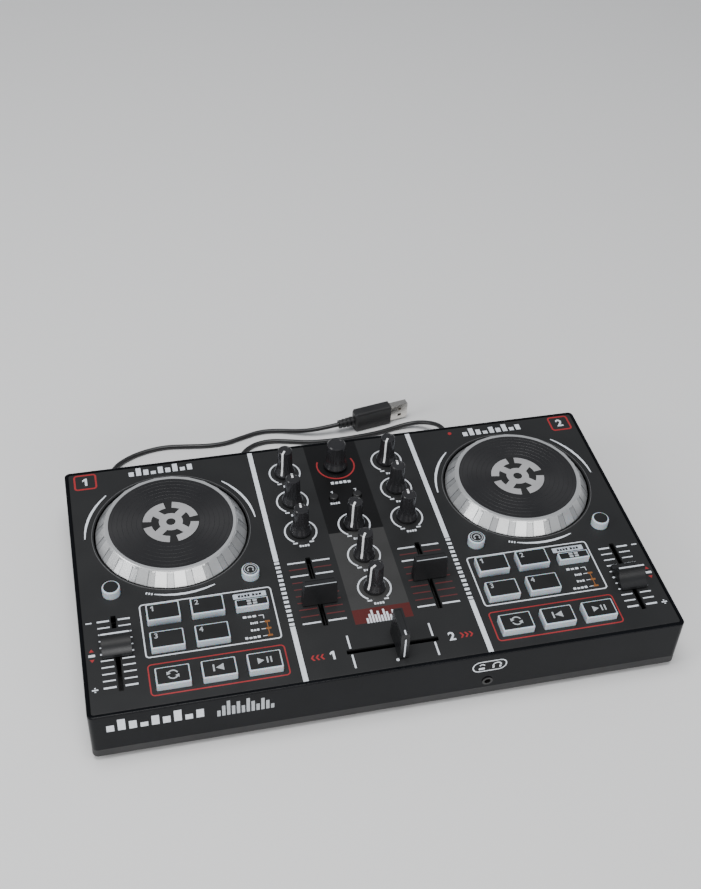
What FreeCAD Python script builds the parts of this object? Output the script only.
"""Two-deck DJ controller with a captive USB lead, one STEP file per physical piece.

Millimetres. X runs to the player's right, Y away from the player, Z up.
The pieces are drawn about the middle of the case. Each is moved by SHIFT_Y when it is saved, so
that the origin is the middle of the whole outline, sockets included, under the rubber feet.
"""
import FreeCAD, Part
import math
import os

V = FreeCAD.Vector
UP = V(0, 0, 1)
BACK = V(0, 1, 0)
OUT = "parts"

# ---- driving dimensions --------------------------------------------------------------
BODY_W, BODY_D = 328.0, 183.0        # outline of the case, seen from above
CORNER_R = 3.2
PLATE_Z = 36.5                       # top of the faceplate
FOOT_H = 2.5
SPLIT_Z = 9.0                        # joint between the bottom and top case
WALL = 2.5
RIM_W = 2.0                          # raised border of the top case round the faceplate
PLATE_T = 1.5
SKIN_T = 2.5                         # top wall of the case, under the faceplate
GAP = 0.35                           # clearance round everything that moves

PLATE_FLOOR = PLATE_Z - PLATE_T      # the faceplate lies on this level
SKIN_Z = PLATE_FLOOR - SKIN_T        # underside of the case's top wall
FLOOR_Z = FOOT_H + WALL              # inside floor of the bottom case
BOARD_Z, BOARD_T = 20.0, 1.6
BOARD_TOP = BOARD_Z + BOARD_T

DECK_X, JOG_Y = 106.0, 32.5          # jog wheel centres, at plus and minus DECK_X
WELL_R, WELL_DEPTH, WELL_T = 44.9, 8.5, 2.0
WELL_CHAMFER = 0.5
JOG_FACETS = 24
JOG_R_TOP, JOG_R_LOW = 38.3, 43.7    # the faceted rim, at its top edge and at its foot
JOG_TOP, JOG_LOW = 7.0, -3.4         # heights from the faceplate
JOG_BAND_Z, JOG_EDGE = -0.9, 0.5     # where the upright foot ends, and the bevel at the top edge
DISC_R, DISC_T = 36.0, 1.6
SHAFT_R, SHAFT_FIT = 3.0, 0.05
ENCODER_R, ENCODER_Z = 11.0, 22.4    # slotted disc low on the jog's shaft

GRID_X, COL = 94.0, 24.2             # middle of the button block, and its column pitch
PAD_W, PAD_D, PAD_H = 18.2, 11.6, 4.3
PAD_ROWS = (-31.0, -50.3)
TRANSPORT_Y = -74.7
MODE_D, MODE_Y = 5.8, -33.9
ROUND_R, ROUND_H = 5.0, 5.0
SCRATCH_X, SCRATCH_Y = 144.4, -9.2
PHONES_X, PHONES_Y = 66.7, -10.5
LOAD_X, LOAD_Y, LOAD_R, LOAD_H = 7.2, 40.8, 2.6, 2.2
TRAVEL = 1.2                         # how far a button goes down
LIP, LIP_T = 1.3, 1.5                # flange that keeps a button in the case
STEM_R = 2.4
SWITCH_W, SWITCH_H, DOME_R, DOME_H = 6.0, 1.6, 1.6, 0.8

KNOB_COL_X = 32.2
KNOB_ROWS = (67.7, 42.8, 17.5)       # gain, treble, bass
CENTRE_ROWS = (17.5, -7.7, -32.9)    # master, cue mix, cue gain
KNOB_H, KNOB_LIFT = 19.5, 0.8
KNOB_SKIRT_R, KNOB_WAIST_R, KNOB_TOP_R = 6.3, 4.8, 4.25
BROWSE_Y, BROWSE_H, BROWSE_LIFT = 68.8, 18.4, 1.2
BROWSE_R, BROWSE_SKIRT_R = 5.7, 7.4
BROWSE_TRAVEL = 0.7
POT_W, POT_H, POT_NECK_R, POT_NECK_H = 9.5, 7.0, 3.4, 2.0

FADER_TRAVEL = 44.8
SLOT_W, SLOT_L = 2.8, 51.0
CHANNEL_X, CHANNEL_MID = 32.5, -29.05
PITCH_X, PITCH_MID = 145.1, -51.35
CROSS_Y = -74.9
CHANNEL_REST = {"left": -36.9, "right": -30.3}
PITCH_REST = {"left": -45.9, "right": -53.3}
CROSS_REST = 3.6
FIN_L, FIN_T, FIN_TAPER = 18.6, 5.2, 1.0         # tall caps of the mixer faders
CHANNEL_CAP_H, CROSS_CAP_H = 16.4, 19.2
SADDLE_W, SADDLE_L, SADDLE_H = 15.8, 18.2, 9.6   # low caps of the pitch faders
TANG_W, TANG_T = 4.0, 1.0
RAIL_W, RAIL_H, RAIL_L = 8.0, 9.0, 60.0

POSTS = [(-156, 84), (156, 84), (-156, -84), (156, -84), (-54, 84), (54, 84), (0, -84.5)]
POST_R, BOSS_R, THREAD_R, SHANK_R = 4.4, 3.5, 1.25, 1.2
POST_TOP = 16.0                      # where the bottom case's posts meet the top case's bosses
CASE_HEAD_R, CASE_HEAD_H, CASE_HEAD_Z = 2.8, 2.2, 6.3   # case screws, and the shoulder they pull on
MIXER_BOARD = (100.0, 156.0)
DECK_BOARD, DECK_BOARD_Y = (88.0, 134.0), -21.0
FEET = [(-140, 70), (140, 70), (-140, -70), (140, -70)]
FOOT_R = 8.0

JACK_X, JACK_Z, JACK_BORE_R, JACK_L = 50.7, 14.5, 1.8, 14.0
JACK_COLLAR = 0.6                    # how far the jack's collar stands out of the front wall
RCA_XS, RCA_Z, RCA_R, RCA_L = (112.0, 128.0), 20.0, 4.15, 8.0
RCA_NECK_R = 5.2                     # the thicker neck that fills the rear wall's hole
SHIFT_Y = (JACK_COLLAR - RCA_L) / 2
LENS_XS, LENS_Z, LENS_R, LENS_DOME = (-110.0, -27.0, 27.0), 20.5, 10.5, 4.0

CORD_R = 1.5
GLAND_X, GLAND_Z, GLAND_L = 86.0, 14.0, 15.0
REAR = BODY_D / 2
HANK_X, HANK_Y = -95.56, 107.7       # middle of the folded hank behind the case
HANK_STRAIGHT, HANK_R = 56.0, 12.0   # straight stretch and end radius, at the bundle's middle
BUNDLE_R = 3.706                     # four strands, lightly twisted round each other
PLUG_START = V(18.6, 138.0, 7.6)     # where the cord enters the plug's ribbed tail
PLUG_DIR = V(0.985, 0.174, 0)
RIB_L, GRIP_L, GRIP_T, GRIP_H = 11.0, 26.0, 8.0, 15.2
SHELL_L, SHELL_T, SHELL_H = 13.0, 4.5, 12.0

# Routes of the two bare stretches of cord, from the case to the hank and on to the plug.
LEAD_ROUTE = [V(GLAND_X, REAR + GLAND_L, GLAND_Z), V(GLAND_X, 115.5, 12.8), V(82.6, 126.8, 8.4),
              V(73.2, 134.2, 4.6), V(61.0, 135.0, 2.2), V(47, 131.8, CORD_R), V(30, 130, CORD_R),
              V(12, 129.4, CORD_R), V(-4, 130.4, CORD_R), V(-17, 134.0, CORD_R), V(-30, 136.8, CORD_R),
              V(-42, 134.2, CORD_R), V(-50.6, 125.8, CORD_R), V(-54, 114.4, 1.8), V(-54, 105.5, 2.15)]
TAIL_ROUTE = [V(-137.8, 106.0, 3.7), V(-137.9, 117.0, 3.0), V(-132.6, 129.6, 1.9), V(-122, 137.4, CORD_R),
              V(-110, 141.4, CORD_R), V(-98, 142.9, CORD_R), V(-85, 141.2, CORD_R), V(-71, 139.0, CORD_R),
              V(-58, 139.4, CORD_R), V(-46, 143.4, CORD_R), V(-33.5, 147.0, CORD_R),
              V(-20.5, 145.6, CORD_R), V(-8, 140.8, 3.0), V(5.2, 137.4, 6.0), PLUG_START]


# ---- small helpers -------------------------------------------------------------------
def save(name, shape):
    """Writes one sub-part, after checking that all its solids are sound."""
    assert shape.isValid(), name
    assert all(s.isValid() and s.Volume > 0 for s in shape.Solids), name
    shape.translate(V(0, SHIFT_Y, 0))
    shape.exportStep(os.path.join(OUT, name + ".step"))


def group(shapes):
    """Several separate solids that share one node."""
    solids = [s for shape in shapes for s in shape.Solids]
    return Part.makeCompound(solids)


def fused(first, *others):
    """One solid from several that touch."""
    return first.fuse(list(others)).removeSplitter()


def block(cx, cy, z0, w, d, h, r=0.0):
    """A box centred on cx, cy that starts at z0, with rounded vertical edges."""
    box = Part.makeBox(w, d, h, V(cx - w / 2, cy - d / 2, z0))
    if r > 0:
        upright = [e for e in box.Edges if abs(e.tangentAt(e.FirstParameter).z) > 0.9]
        box = box.makeFillet(r, upright)
    return box


def rod(cx, cy, z0, r, h):
    """An upright cylinder."""
    return Part.makeCylinder(r, h, V(cx, cy, z0))


def tube(cx, cy, z0, r_out, r_in, h):
    """An upright ring."""
    return rod(cx, cy, z0, r_out, h).cut(rod(cx, cy, z0, r_in, h))


def turned(profile, cx=0.0, cy=0.0, z=0.0):
    """A solid of revolution about the vertical through cx, cy. profile lists (radius, height)."""
    points = [V(r, 0, h) for r, h in profile]
    face = Part.Face(Part.makePolygon(points + points[:1]))
    solid = face.revolve(V(0, 0, 0), UP, 360)
    solid.translate(V(cx, cy, z))
    return solid


def top_edges(shape, z, tol=0.01):
    """The edges that lie wholly at height z."""
    return [e for e in shape.Edges if abs(e.BoundBox.ZMin - z) < tol and abs(e.BoundBox.ZMax - z) < tol]


def sides():
    """The two decks: their names, and the sign of their X."""
    return (("left", -1), ("right", 1))


def button_places():
    """Every button: name, x, y, width, depth, height and corner radius. Round ones have depth 0."""
    places = []
    for side, sign in sides():
        cx = sign * GRID_X
        for row, y in enumerate(PAD_ROWS):
            for col in range(2):
                number = 1 + col + 2 * row
                places.append((f"pad_{side}_{number}", cx + (col - 1) * COL, y, PAD_W, PAD_D, PAD_H))
        places.append((f"pad_mode_button_{side}", cx + COL, MODE_Y, PAD_W, MODE_D, PAD_H))
        for col, name in enumerate(("sync", "cue", "play")):
            x = cx + (col - 1) * COL
            places.append((f"{name}_button_{side}", x, TRANSPORT_Y, PAD_W, PAD_D, PAD_H))
        places.append((f"scratch_button_{side}", sign * SCRATCH_X, SCRATCH_Y, ROUND_R, 0, ROUND_H))
        places.append((f"headphone_button_{side}", sign * PHONES_X, PHONES_Y, ROUND_R, 0, ROUND_H))
        places.append((f"load_button_{side}", sign * LOAD_X, LOAD_Y, LOAD_R, 0, LOAD_H))
    return places


def knob_places():
    """The nine pots: name, x, y and the pointer's angle, clockwise from straight back."""
    places = []
    for side, sign in sides():
        for name, y, angle in zip(("gain", "treble", "bass"), KNOB_ROWS, (-150, 0, 0)):
            places.append((f"{name}_knob_{side}", sign * KNOB_COL_X, y, angle))
    for name, y in zip(("master", "cue_mix", "cue_gain"), CENTRE_ROWS):
        places.append((f"{name}_knob", 0.0, y, -150))
    return places


def fader_places():
    """The five faders: name, middle of the travel, rest position and whether it runs along Y."""
    places = []
    for side, sign in sides():
        x = sign * PITCH_X
        places.append((f"pitch_fader_cap_{side}", V(x, PITCH_MID, 0), V(x, PITCH_REST[side], 0), True))
    for side, sign in sides():
        x = sign * CHANNEL_X
        middle, rest = V(x, CHANNEL_MID, 0), V(x, CHANNEL_REST[side], 0)
        places.append((f"channel_fader_cap_{side}", middle, rest, True))
    places.append(("crossfader_cap", V(0, CROSS_Y, 0), V(CROSS_REST, CROSS_Y, 0), False))
    return places


# ---- case ----------------------------------------------------------------------------
def plate_cutouts(z0, h, well_r):
    """Everything that is open through the faceplate and the top wall, from z0 up by h."""
    cuts = [rod(sign * DECK_X, JOG_Y, z0, well_r, h) for side, sign in sides()]
    for name, x, y, w, d, top in button_places():
        if d:
            cuts.append(block(x, y, z0, w + 2 * GAP, d + 2 * GAP, h, 0.9))
        else:
            cuts.append(rod(x, y, z0, w + GAP, h))
    for name, x, y, angle in knob_places():
        cuts.append(rod(x, y, z0, SHAFT_R + 0.7, h))
    cuts.append(rod(0, BROWSE_Y, z0, SHAFT_R + 0.7, h))
    for name, middle, rest, along_y in fader_places():
        w, d = (SLOT_W, SLOT_L) if along_y else (SLOT_L, SLOT_W)
        cuts.append(block(middle.x, middle.y, z0, w, d, h, 0.4))
    return cuts


def faceplate():
    """Flat printed plate, let into the top of the case."""
    w, d = BODY_W - 2 * RIM_W - 0.3, BODY_D - 2 * RIM_W - 0.3
    plate = block(0, 0, PLATE_FLOOR, w, d, PLATE_T, CORNER_R - RIM_W + 0.3)
    plate = plate.makeChamfer(0.35, top_edges(plate, PLATE_Z))
    cuts = plate_cutouts(PLATE_FLOOR - 1, PLATE_T + 2, WELL_R)
    for side, sign in sides():
        low = V(sign * DECK_X, JOG_Y, PLATE_Z - WELL_CHAMFER)
        cuts.append(Part.makeCone(WELL_R, WELL_R + 2 * WELL_CHAMFER, 2 * WELL_CHAMFER, low))
    return plate.cut(cuts)


def rear_openings():
    """Holes through the rear wall, and the jack's hole through the front wall."""
    y0 = REAR - WALL - 1
    depth = WALL + 2
    holes = [Part.makeCylinder(LENS_R + 0.1, depth, V(x, y0, LENS_Z), BACK) for x in LENS_XS]
    holes += [Part.makeCylinder(RCA_NECK_R + 0.2, depth, V(x, y0, RCA_Z), BACK) for x in RCA_XS]
    holes.append(Part.makeCylinder(4.0, depth, V(GLAND_X, y0, GLAND_Z), BACK))
    holes.append(Part.makeCylinder(3.1, depth, V(JACK_X, -REAR - 1, JACK_Z), BACK))
    return holes


def top_case():
    """Upper shell: four walls, the top wall with the jog wells, and the screw bosses."""
    outer = block(0, 0, SPLIT_Z, BODY_W, BODY_D, PLATE_Z - SPLIT_Z, CORNER_R)
    outer = outer.makeFillet(0.8, top_edges(outer, PLATE_Z))
    inside_w, inside_d = BODY_W - 2 * WALL, BODY_D - 2 * WALL
    room = block(0, 0, SPLIT_Z - 1, inside_w, inside_d, SKIN_Z - SPLIT_Z + 1, CORNER_R - 2)
    seat_w, seat_d = BODY_W - 2 * RIM_W, BODY_D - 2 * RIM_W
    seat = block(0, 0, PLATE_FLOOR, seat_w, seat_d, PLATE_T + 1, CORNER_R - RIM_W + 0.4)
    shell = outer.cut([room, seat])
    shell = shell.cut(plate_cutouts(SKIN_Z - 1, SKIN_T + 2, WELL_R))
    well_floor = PLATE_Z - WELL_DEPTH - WELL_T
    parts = []
    for side, sign in sides():
        x = sign * DECK_X
        cup = rod(x, JOG_Y, well_floor, WELL_R + WELL_T, PLATE_FLOOR - well_floor)
        well = rod(x, JOG_Y, well_floor + WELL_T, WELL_R, WELL_DEPTH + 1)
        cup = cup.cut([well, rod(x, JOG_Y, 0, 5.0, 40)])
        parts.append(cup)
    for x, y in POSTS:
        parts.append(tube(x, y, POST_TOP, BOSS_R, THREAD_R, SKIN_Z - POST_TOP))
    shell = fused(shell, *parts)
    return shell.cut(rear_openings())


def board_posts():
    """Places where the circuit boards are screwed down: mixer board first, then both decks."""
    places = [(x, y) for x in (-45.0, 45.0) for y in (-67.0, 73.0)]
    for side, sign in sides():
        places += [(sign * x, y) for x, y in ((66.0, -84.0), (137.0, -84.0), (66.0, 42.0), (146.0, 42.0))]
    return places


def bottom_case():
    """Lower tray with posts for the case screws and the circuit boards."""
    tray = block(0, 0, FOOT_H, BODY_W, BODY_D, SPLIT_Z - FOOT_H, CORNER_R)
    low = top_edges(tray, FOOT_H)
    tray = tray.makeFillet(1.5, low)
    room = block(0, 0, FLOOR_Z, BODY_W - 2 * WALL, BODY_D - 2 * WALL, SPLIT_Z, CORNER_R - 2)
    tray = tray.cut(room)
    posts = [rod(x, y, FLOOR_Z - 0.5, POST_R, POST_TOP - FLOOR_Z + 0.5) for x, y in POSTS]
    posts += [rod(x, y, FLOOR_Z - 0.5, 3.0, BOARD_Z - FLOOR_Z + 0.5) for x, y in board_posts()]
    tray = fused(tray, *posts)
    cuts = [rod(x, y, 0, 1.6, 20) for x, y in POSTS]
    cuts += [rod(x, y, 0, CASE_HEAD_R + 0.3, CASE_HEAD_Z) for x, y in POSTS]
    cuts += [rod(x, y, BOARD_Z - 8, THREAD_R, 10) for x, y in board_posts()]
    cuts += [rod(x, y, FOOT_H - 1, FOOT_R + 0.1, 1.8) for x, y in FEET]
    for row in range(9):
        cuts.append(block(0, (row - 4) * 7.0, 0, 60, 2.2, 10, 1.0))
    return tray.cut(cuts)


def rubber_feet():
    """Four feet in shallow seats under the tray."""
    feet = []
    for x, y in FEET:
        foot = rod(x, y, 0, FOOT_R, FOOT_H + 0.8)
        feet.append(foot.makeFillet(0.7, top_edges(foot, 0)))
    return group(feet)


def screws():
    """Case screws from below, and board screws from above, with cross recesses in their heads."""
    made = []
    for x, y in POSTS:
        made.append(screw(x, y, CASE_HEAD_Z, CASE_HEAD_R, CASE_HEAD_H, 20.0, True))
    for x, y in board_posts():
        made.append(screw(x, y, BOARD_TOP, 2.4, 1.5, 7.0, False))
    return group(made)


def screw(x, y, z, head_r, head_h, shank, points_up):
    """One cross-head screw. z is the shoulder, where the head bears."""
    if points_up:
        head = rod(x, y, z - head_h, head_r, head_h)
        body = rod(x, y, z - 0.1, SHANK_R, shank)
        recess_z = z - head_h - 1
    else:
        head = rod(x, y, z, head_r, head_h)
        body = rod(x, y, z - shank, SHANK_R, shank + 0.1)
        recess_z = z + head_h - 0.9
    cross = [block(x, y, recess_z, 0.6, 2.8, 1.9), block(x, y, recess_z, 2.8, 0.6, 1.9)]
    return fused(head, body).cut(cross)


# ---- electronics ---------------------------------------------------------------------
def circuit_boards():
    """Mixer board, two deck boards, their switches and jog readers, and a lamp board behind each lens."""
    boards = [block(0, 0, BOARD_Z, *MIXER_BOARD, BOARD_T, 2.0)]
    for side, sign in sides():
        boards.append(block(sign * DECK_X, DECK_BOARD_Y, BOARD_Z, *DECK_BOARD, BOARD_T, 2.0))
    holes = [rod(x, y, BOARD_Z - 1, SHANK_R + 0.1, 4) for x, y in board_posts()]
    boards = [board.cut(holes) for board in boards]
    for side, sign in sides():
        boards.append(block(sign * DECK_X, JOG_Y - ENCODER_R - 2.7, BOARD_TOP, 6, 4, 3.4, 0.4))
    for name, x, y, w, d, top in button_places():
        base = block(x, y, BOARD_TOP, SWITCH_W, SWITCH_W if d != MODE_D else 5.0, SWITCH_H, 0.4)
        boards.append(fused(base, rod(x, y, BOARD_TOP + SWITCH_H - 0.1, DOME_R, DOME_H + 0.1)))
    for x in LENS_XS:
        board = block(x, REAR - 10.5, LENS_Z - 8, 16, 1.2, 12.5)
        lamp = Part.makeCylinder(2.5, 3.0, V(x, REAR - 10.0, LENS_Z), BACK)
        boards.append(fused(board, lamp))
    return group(boards)


def rotary_controls():
    """Nine pots and the browse encoder, standing on the mixer board. Each has a bore for its shaft."""
    made = []
    places = [(x, y) for name, x, y, angle in knob_places()] + [(0.0, BROWSE_Y)]
    for x, y in places:
        body = block(x, y, BOARD_TOP, POT_W, POT_W, POT_H, 0.8)
        body = fused(body, rod(x, y, BOARD_TOP + POT_H - 0.1, POT_NECK_R, POT_NECK_H + 0.1))
        made.append(body.cut(rod(x, y, BOARD_TOP + 1.2, SHAFT_R + SHAFT_FIT, 20)))
    return group(made)


def fader_bodies():
    """Five slide pots: a metal channel with a slot on top for the lever."""
    made = []
    for name, middle, rest, along_y in fader_places():
        def sized(long, wide, z, h):
            w, d = (wide, long) if along_y else (long, wide)
            return block(middle.x, middle.y, z, w, d, h)
        body = sized(RAIL_L, RAIL_W, BOARD_TOP, RAIL_H)
        inside = sized(RAIL_L - 2, RAIL_W - 1.6, BOARD_TOP + 0.8, RAIL_H - 1.6)
        slot = sized(FADER_TRAVEL + TANG_W + 1.5, TANG_T + 1.0, BOARD_TOP + RAIL_H - 2, 4)
        made.append(body.cut([inside, slot]))
    return group(made)


def jog_bushings():
    """Flanged sleeves in the middle of the jog wells, where the wheels' shafts turn."""
    made = []
    for side, sign in sides():
        floor = PLATE_Z - WELL_DEPTH
        x = sign * DECK_X
        body = fused(rod(x, JOG_Y, floor - 5, 5.0, 5.1), rod(x, JOG_Y, floor, 7.5, 1.0))
        made.append(body.cut(rod(x, JOG_Y, floor - 6, SHAFT_R + SHAFT_FIT, 10)))
    return group(made)


# ---- jog wheels ----------------------------------------------------------------------
def polygon(r, z, count):
    """A regular polygon wire with its flats' middles on radius r."""
    corner = r / math.cos(math.pi / count)
    points = [V(corner * math.cos(a), corner * math.sin(a), z)
              for a in [2 * math.pi * (i + 0.5) / count for i in range(count)]]
    return Part.makePolygon(points + points[:1])


def jog_wheel(cx):
    """Faceted rim, web, hub and shaft in one moulding. The web carries the disc."""
    n = JOG_FACETS
    r_top, r_low = JOG_R_TOP, JOG_R_LOW
    edge_z = JOG_TOP - JOG_EDGE
    bevel = Part.makeLoft([polygon(r_low, JOG_BAND_Z, n), polygon(r_top, edge_z, n)], True, True)
    skirt = Part.makeLoft([polygon(r_low, JOG_LOW, n), polygon(r_low, JOG_BAND_Z, n)], True, True)
    crown = turned([(0, edge_z), (r_top - 0.1, edge_z), (r_top - 0.1 - JOG_EDGE, JOG_TOP), (0, JOG_TOP)])
    wheel = fused(bevel, skirt, crown)
    # Narrow facets take the corners off: deepest at the top edge, fading out at the foot.
    turn, r_foot = 360.0 / n, r_low + 0.15
    strip = [(r_foot, JOG_LOW - 1), (r_low + 3, JOG_LOW - 1), (r_low + 3, edge_z - 0.7),
             (r_top, edge_z - 0.7), (r_foot, JOG_BAND_Z)]
    face = Part.Face(Part.makePolygon([V(r, 0, h) for r, h in strip + strip[:1]]))
    groove = face.revolve(V(0, 0, 0), UP, 0.36 * turn)
    groove.rotate(V(0, 0, 0), UP, 0.32 * turn)
    grooves = []
    for i in range(n):
        one = groove.copy()
        one.rotate(V(0, 0, 0), UP, i * turn)
        grooves.append(one)
    wheel = wheel.cut(grooves)
    wall_r, ceiling = r_low - 2.4, JOG_TOP - 3.6
    under = turned([(5.5, JOG_LOW - 1), (wall_r, JOG_LOW - 1), (wall_r, JOG_BAND_Z), (r_top - 2.2, ceiling),
                    (5.5, ceiling)])
    seat = rod(0, 0, JOG_TOP - DISC_T, DISC_R + 0.05, 5)
    wheel = wheel.cut([under, seat])
    hub_low = 1.4 - WELL_DEPTH
    hub = rod(0, 0, hub_low, 5.5, JOG_TOP - 3.5 - hub_low)
    shaft = rod(0, 0, ENCODER_Z - 0.2 - PLATE_Z, SHAFT_R, 10)
    wheel = fused(wheel, hub, shaft)
    wheel.translate(V(cx, JOG_Y, PLATE_Z))
    encoder = tube(cx, JOG_Y, ENCODER_Z, ENCODER_R, SHAFT_R, 0.4)
    slots = []
    for i in range(16):
        slot = Part.makeBox(2.4, 0.9, 3, V(ENCODER_R - 3.4, -0.45, -1))
        slot.rotate(V(0, 0, 0), UP, i * 360.0 / 16)
        slot.translate(V(cx, JOG_Y, ENCODER_Z))
        slots.append(slot)
    return group([wheel, encoder.cut(slots)])


def jog_disc(cx):
    """The record-like touch plate in the wheel's seat, with fine concentric grooves."""
    z0 = JOG_TOP - DISC_T
    outline = [(0, z0), (DISC_R, z0), (DISC_R, JOG_TOP - 0.25), (DISC_R - 0.25, JOG_TOP)]
    for i in range(6):
        r = DISC_R - 2.2 - 2.8 * i
        outline += [(r, JOG_TOP), (r - 0.1, JOG_TOP - 0.06), (r - 0.2, JOG_TOP)]
    outline.append((0, JOG_TOP))
    return turned(outline, cx, JOG_Y, PLATE_Z)


# ---- knobs and caps ------------------------------------------------------------------
def knob(x, y, angle):
    """Skirted knob pressed on its pot shaft, with twelve finger flutes, turned to its rest angle."""
    top, lift = KNOB_H, KNOB_LIFT
    skirt, waist, crown = KNOB_SKIRT_R, KNOB_WAIST_R, KNOB_TOP_R
    outline = [(0, lift), (skirt, lift), (skirt, lift + 1.3), (skirt - 0.35, lift + 2.2),
               (waist + 0.3, lift + 4.6), (waist, lift + 6.0), (crown, top - 0.5),
               (crown - 0.5, top), (crown - 1.0, top), (crown - 1.25, top - 0.3), (0, top - 0.3)]
    cap = turned(outline)
    cuts = []
    for i in range(12):
        a = math.radians(i * 30 + 15)
        cuts.append(rod(5.28 * math.cos(a), 5.28 * math.sin(a), lift + 5.6, 0.75, 14))
    cap = cap.cut(cuts)
    cap = cap.cut(rod(0, 0, lift - 1, SHAFT_R, 12))
    shaft = rod(0, 0, BOARD_TOP + 1.5 - PLATE_Z, SHAFT_R, PLATE_Z - BOARD_TOP - 1.5 + lift + 11)
    both = group([cap, shaft])
    both.rotate(V(0, 0, 0), UP, -angle)
    both.translate(V(x, y, PLATE_Z))
    return both


def browse_knob():
    """Larger push knob with a flared skirt. Its bore turns and slides with the encoder shaft."""
    top, lift = BROWSE_H, BROWSE_LIFT
    skirt, side = BROWSE_SKIRT_R, BROWSE_R
    outline = [(0, lift), (skirt, lift), (skirt, lift + 0.8), (skirt - 0.5, lift + 2.0),
               (side + 0.55, lift + 3.6), (side + 0.3, lift + 5.0), (side, top - 0.7), (side - 0.7, top),
               (side - 1.3, top), (side - 1.6, top - 0.35), (0, top - 0.35)]
    cap = turned(outline)
    cuts = [rod(0, 0, lift - 1, SHAFT_R + SHAFT_FIT, 12)]
    for i in range(18):
        a = math.radians(i * 20)
        reach = BROWSE_R + 0.66
        cuts.append(rod(reach * math.cos(a), reach * math.sin(a), lift + 5.2, 0.7, 14))
    cap = cap.cut(cuts)
    cap.translate(V(0, BROWSE_Y, PLATE_Z))
    return cap


def browse_shaft():
    """The encoder's shaft, which goes down when the knob is pressed."""
    low = BOARD_TOP + 1.2 + BROWSE_TRAVEL + 0.3
    high = PLATE_Z + BROWSE_LIFT + 10.7
    return rod(0, BROWSE_Y, low, SHAFT_R, high - low)


def tang(along_y):
    """The fader's metal lever, from its channel up into the cap."""
    w, d = (TANG_T, TANG_W) if along_y else (TANG_W, TANG_T)
    low = BOARD_TOP + 2.0
    return block(0, 0, low, w, d, PLATE_Z + 5.0 - low)


def ring_wire(w, d, z, r):
    """The outline of a rounded rectangle at height z."""
    plate = block(0, 0, z, w, d, 1, r)
    return [f for f in plate.Faces if abs(f.CenterOfMass.z - z) < 0.01][0].OuterWire


def fin_cap(rest, top, along_y):
    """Tall, thin cap that tapers upwards, hollowed a little on both broad faces, with a dished top."""
    foot = ring_wire(FIN_L + FIN_TAPER, FIN_T + FIN_TAPER, 0.8, 0.7)
    head = ring_wire(FIN_L, FIN_T, top, 0.7)
    body = Part.makeLoft([foot, head], True, True)
    cuts = [block(0, 0, top - 0.35, FIN_L - 2.0, FIN_T - 2.2, 2, 0.4)]
    for sign in (-1, 1):
        across = V(-FIN_L, sign * (70 + FIN_T / 2 - 0.25), 8.6)
        cuts.append(Part.makeCylinder(70, 2 * FIN_L, across, V(1, 0, 0)))
    body = body.cut(cuts)
    if not along_y:
        body.rotate(V(0, 0, 0), UP, 90)
    lever = tang(along_y)
    body.translate(V(0, 0, PLATE_Z))
    both = group([body.cut(lever), lever])
    both.translate(rest)
    return both


def saddle_cap(rest):
    """Low pitch cap: a ridge across the middle, with a hollow for the finger on each side."""
    w, half, top = SADDLE_W, SADDLE_L / 2, SADDLE_H
    start, low = V(0, -half, 0.8), V(0, -half, 2.6)
    ridge = 1.5
    outline = [Part.LineSegment(start, low).toShape(),
               Part.Arc(low, V(0, -half * 0.50, 4.3), V(0, -ridge, top)).toShape(),
               Part.LineSegment(V(0, -ridge, top), V(0, ridge, top)).toShape(),
               Part.Arc(V(0, ridge, top), V(0, half * 0.50, 4.3), V(0, half, 2.6)).toShape(),
               Part.LineSegment(V(0, half, 2.6), V(0, half, 0.8)).toShape(),
               Part.LineSegment(V(0, half, 0.8), start).toShape()]
    body = Part.Face(Part.Wire(outline)).extrude(V(w, 0, 0))
    body.translate(V(-w / 2, 0, 0))
    ends = [e for e in body.Edges if abs(e.BoundBox.YMin - e.BoundBox.YMax) < 0.01 and e.BoundBox.ZMax < 3]
    upright = [e for e in ends if e.BoundBox.ZLength > 1]
    body = body.makeFillet(0.8, upright)
    body.translate(V(0, 0, PLATE_Z))
    lever = tang(True)
    both = group([body.cut(lever), lever])
    both.translate(rest)
    return both


# ---- buttons -------------------------------------------------------------------------
def button(x, y, w, d, h):
    """A button with its keeper flange under the case's top wall, and the stem to its switch."""
    lip_top = SKIN_Z - 0.3
    stem_low = BOARD_TOP + SWITCH_H + DOME_H + TRAVEL + 0.3
    top = PLATE_Z + h
    if d:
        cap = block(x, y, lip_top - LIP_T, w, d, top - lip_top + LIP_T, 0.7)
        cap = cap.makeFillet(0.45, top_edges(cap, top))
        lip = block(x, y, lip_top - LIP_T, w + 2 * LIP, d + 2 * LIP, LIP_T, 0.9)
    else:
        cap = rod(x, y, lip_top - LIP_T, w, top - lip_top + LIP_T)
        cap = cap.makeFillet(min(0.8, w / 4), top_edges(cap, top))
        lip = rod(x, y, lip_top - LIP_T, w + LIP, LIP_T)
    stem = rod(x, y, stem_low, min(STEM_R, max(w, 1) / 2), lip_top - stem_low)
    return fused(cap, lip, stem)


# ---- connectors ----------------------------------------------------------------------
def headphone_jack():
    """Stereo jack socket behind the front wall, with a threaded-looking collar through it."""
    front = -REAR
    body = block(JACK_X, front + WALL + 7.5, JACK_Z - 4.5, 11, 15, 9.4, 0.6)
    collar = Part.makeCylinder(3.0, WALL + 1.0, V(JACK_X, front - JACK_COLLAR, JACK_Z), BACK)
    bore = Part.makeCylinder(JACK_BORE_R, JACK_L, V(JACK_X, front - JACK_COLLAR, JACK_Z), BACK)
    return fused(body, collar).cut(bore)


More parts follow.
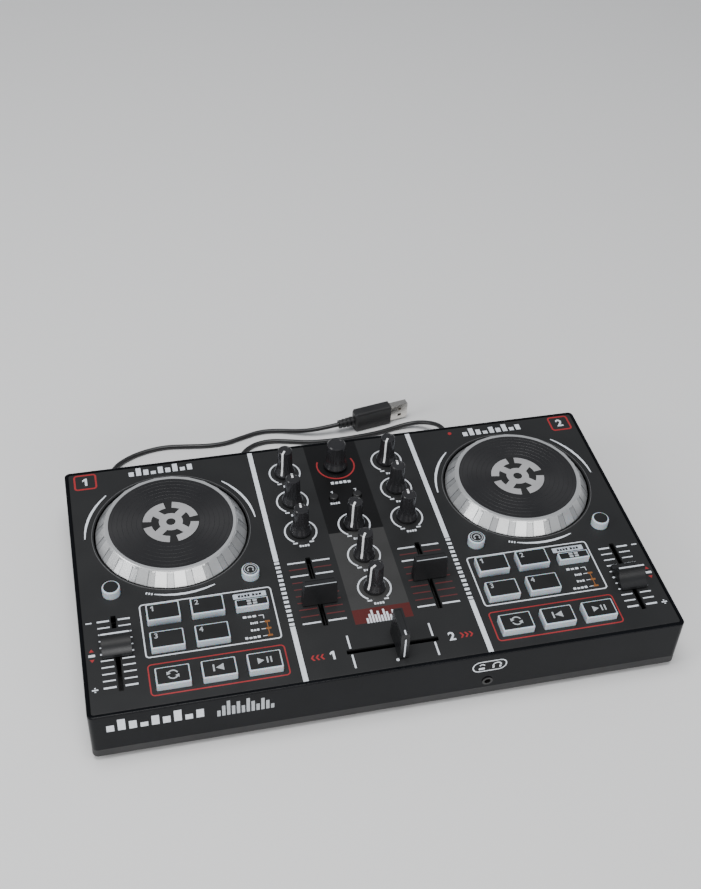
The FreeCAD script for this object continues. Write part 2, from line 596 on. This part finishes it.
def rca_jacks():
    """A pair of phono sockets in the rear wall: housing, neck, round outer contact and hollow middle."""
    made = []
    for x in RCA_XS:
        box = block(x, REAR - WALL - 5.5, RCA_Z - 6.5, 12, 11, 12.5, 0.6)
        neck = Part.makeCylinder(RCA_NECK_R, WALL + 0.5, V(x, REAR - WALL - 0.5, RCA_Z), BACK)
        barrel = Part.makeCylinder(RCA_R, RCA_L + WALL, V(x, REAR - WALL, RCA_Z), BACK)
        bore = Part.makeCylinder(RCA_R - 0.9, RCA_L, V(x, REAR, RCA_Z), BACK)
        core = Part.makeCylinder(2.6, RCA_L - 0.8, V(x, REAR - 0.2, RCA_Z), BACK)
        pin = Part.makeCylinder(1.6, RCA_L + 2, V(x, REAR + 0.6, RCA_Z), BACK)
        made.append(fused(fused(box, neck, barrel).cut(bore), core).cut(pin))
    return group(made)


def light_lenses():
    """Three domed lenses in the rear wall, each with a keeper flange inside."""
    made = []
    dome_r = (LENS_R ** 2 + LENS_DOME ** 2) / (2 * LENS_DOME)
    for x in LENS_XS:
        disc = Part.makeCylinder(LENS_R, WALL + 0.4, V(x, REAR - WALL, LENS_Z), BACK)
        flange = Part.makeCylinder(LENS_R + 1.0, 1.0, V(x, REAR - WALL - 1.0, LENS_Z), BACK)
        ball = Part.makeSphere(dome_r, V(x, REAR + 0.4 + LENS_DOME - dome_r, LENS_Z))
        slab = Part.makeBox(60, 20, 60, V(x - 30, REAR + 0.4, LENS_Z - 30))
        hollow = Part.makeCylinder(LENS_R - 2.0, WALL + 3.0, V(x, REAR - WALL - 2.0, LENS_Z), BACK)
        made.append(fused(disc, flange, ball.common(slab)).cut(hollow))
    return group(made)


# ---- cord ----------------------------------------------------------------------------
def cord_tube(name, route):
    """A tube along straight runs joined by tangent arcs, as large as their runs allow."""
    edges, start, radii = [], route[0], []
    for before, corner, after in zip(route, route[1:], route[2:]):
        run_in, run_out = corner.sub(before), after.sub(corner)
        bend = run_in.getAngle(run_out)
        back = 0.45 * min(run_in.Length, run_out.Length)
        radius = back / math.tan(bend / 2)
        u, w = before.sub(corner).normalize(), after.sub(corner).normalize()
        first, last = corner + u * back, corner + w * back
        middle_dir = (u + w).normalize()
        centre_gap = radius / math.cos(bend / 2)
        middle = corner + middle_dir * (centre_gap - radius)
        edges.append(Part.LineSegment(start, first).toShape())
        edges.append(Part.Arc(first, middle, last).toShape())
        start = last
        radii.append(radius)
    edges.append(Part.LineSegment(start, route[-1]).toShape())
    path = Part.Wire(edges)
    heading = route[1].sub(route[0]).normalize()
    ring = Part.Wire(Part.makeCircle(CORD_R, route[0], heading))
    solid = path.makePipeShell([ring], True, False)
    solid = solid if solid.ShapeType == "Solid" else Part.Solid(solid)
    print(name, "length", round(path.Length, 1), "radii", [round(r, 1) for r in radii],
          "volume ratio", round(solid.Volume / (math.pi * CORD_R ** 2 * path.Length), 4))
    return solid


def cable_hank():
    """Outer shape of the folded spare cord: an oval ring lying on the surface."""
    def oval(r):
        return fused(block(HANK_X, HANK_Y, 0, HANK_STRAIGHT, 2 * r, 2 * BUNDLE_R),
                     rod(HANK_X - HANK_STRAIGHT / 2, HANK_Y, 0, r, 2 * BUNDLE_R),
                     rod(HANK_X + HANK_STRAIGHT / 2, HANK_Y, 0, r, 2 * BUNDLE_R))
    ring = oval(HANK_R + BUNDLE_R).cut(oval(HANK_R - BUNDLE_R))
    rims = top_edges(ring, 0) + top_edges(ring, 2 * BUNDLE_R)
    return ring.makeFillet(1.6, rims)


def cable_strain_relief():
    """Moulded sleeve: a grooved collar in the rear wall and a tapered, slotted tail."""
    inner, hole, collar = 5.2, 3.95, 4.9
    outline = [(0, -WALL - 1.5), (inner, -WALL - 1.5), (inner, -WALL), (hole, -WALL), (hole, 0),
               (collar, 0), (collar, 1.6)]
    steps = 4
    for i in range(steps):
        r = 4.0 - 0.42 * i
        h = 1.6 + i * 3.2
        outline += [(r, h), (r, h + 1.8), (r - 0.6, h + 1.8), (r - 0.65, h + 3.2)]
    outline += [(2.35, 14.4), (2.25, GLAND_L), (0, GLAND_L)]
    solid = turned(outline)
    solid.rotate(V(0, 0, 0), V(1, 0, 0), -90)
    solid.translate(V(GLAND_X, REAR, GLAND_Z))
    return solid


def along_plug(shape):
    """Turns a shape built along +X from the origin to the plug's place and heading."""
    angle = math.degrees(math.atan2(PLUG_DIR.y, PLUG_DIR.x))
    shape.rotate(V(0, 0, 0), UP, angle)
    shape.translate(PLUG_START)
    return shape


def usb_plug_grip():
    """Plug body with a ribbed tail, standing on its narrow side."""
    tail = []
    for i in range(4):
        x = i * RIB_L / 4
        tail.append(Part.makeCylinder(2.9 + 0.15 * i, 1.7, V(x, 0, 0), V(1, 0, 0)))
    core = Part.makeCylinder(2.3, RIB_L + 1.0, V(0, 0, 0), V(1, 0, 0))
    grip = Part.makeBox(GRIP_L, GRIP_T, GRIP_H, V(RIB_L, -GRIP_T / 2, -GRIP_H / 2))
    grip = grip.makeFillet(1.6, [e for e in grip.Edges if e.BoundBox.XLength > GRIP_L - 1])
    nose = [e for e in grip.Edges if e.BoundBox.XLength < 0.01 and e.BoundBox.XMax < RIB_L + 0.01]
    grip = grip.makeChamfer(1.2, nose)
    shape = fused(core, grip, *tail)
    pocket = Part.makeBox(6, SHELL_T, SHELL_H, V(RIB_L + GRIP_L - 5, -SHELL_T / 2, -SHELL_H / 2))
    return along_plug(shape.cut(pocket))


def usb_plug_shell():
    """Folded metal shell of a USB-A plug, with its tongue and the two catch windows."""
    x0 = RIB_L + GRIP_L - 5
    length = SHELL_L + 5
    shell = Part.makeBox(length, SHELL_T, SHELL_H, V(x0, -SHELL_T / 2, -SHELL_H / 2))
    room_t, room_h = SHELL_T - 0.8, SHELL_H - 0.8
    room = Part.makeBox(length, room_t, room_h, V(x0 + 5, -room_t / 2, -room_h / 2))
    windows = []
    for z in (-2.5, 2.5):
        windows.append(Part.makeBox(2.5, SHELL_T + 2, 2.0, V(x0 + 11.0, -SHELL_T / 2 - 1, z - 1)))
    shell = shell.cut([room] + windows)
    tongue = Part.makeBox(SHELL_L - 1.5, 1.6, SHELL_H - 2.4, V(x0 + 4.9, 0.1, -SHELL_H / 2 + 1.2))
    return along_plug(fused(shell, tongue))


# ---- all the pieces ------------------------------------------------------------------
def main():
    os.makedirs(OUT, exist_ok=True)
    save("faceplate", faceplate())
    save("top_case", top_case())
    save("bottom_case", bottom_case())
    save("rubber_feet", rubber_feet())
    save("screws", screws())
    save("circuit_boards", circuit_boards())
    save("rotary_controls", rotary_controls())
    save("fader_bodies", fader_bodies())
    save("jog_bushings", jog_bushings())
    for side, sign in sides():
        save(f"jog_wheel_{side}", jog_wheel(sign * DECK_X))
        save(f"jog_disc_{side}", jog_disc(sign * DECK_X))
    for name, x, y, angle in knob_places():
        save(name, knob(x, y, angle))
    save("browse_knob", browse_knob())
    save("browse_shaft", browse_shaft())
    for name, middle, rest, along_y in fader_places():
        if name.startswith("pitch"):
            cap = saddle_cap(rest)
        elif name.startswith("channel"):
            cap = fin_cap(rest, CHANNEL_CAP_H, along_y)
        else:
            cap = fin_cap(rest, CROSS_CAP_H, along_y)
        save(name, cap)
    for name, x, y, w, d, h in button_places():
        save(name, button(x, y, w, d, h))
    save("headphone_jack", headphone_jack())
    save("rca_jacks", rca_jacks())
    save("light_lenses", light_lenses())
    save("cable_strain_relief", cable_strain_relief())
    save("cable_lead", cord_tube("cable_lead", LEAD_ROUTE))
    save("cable_hank", cable_hank())
    save("cable_tail", cord_tube("cable_tail", TAIL_ROUTE))
    save("usb_plug_grip", usb_plug_grip())
    save("usb_plug_shell", usb_plug_shell())


main()
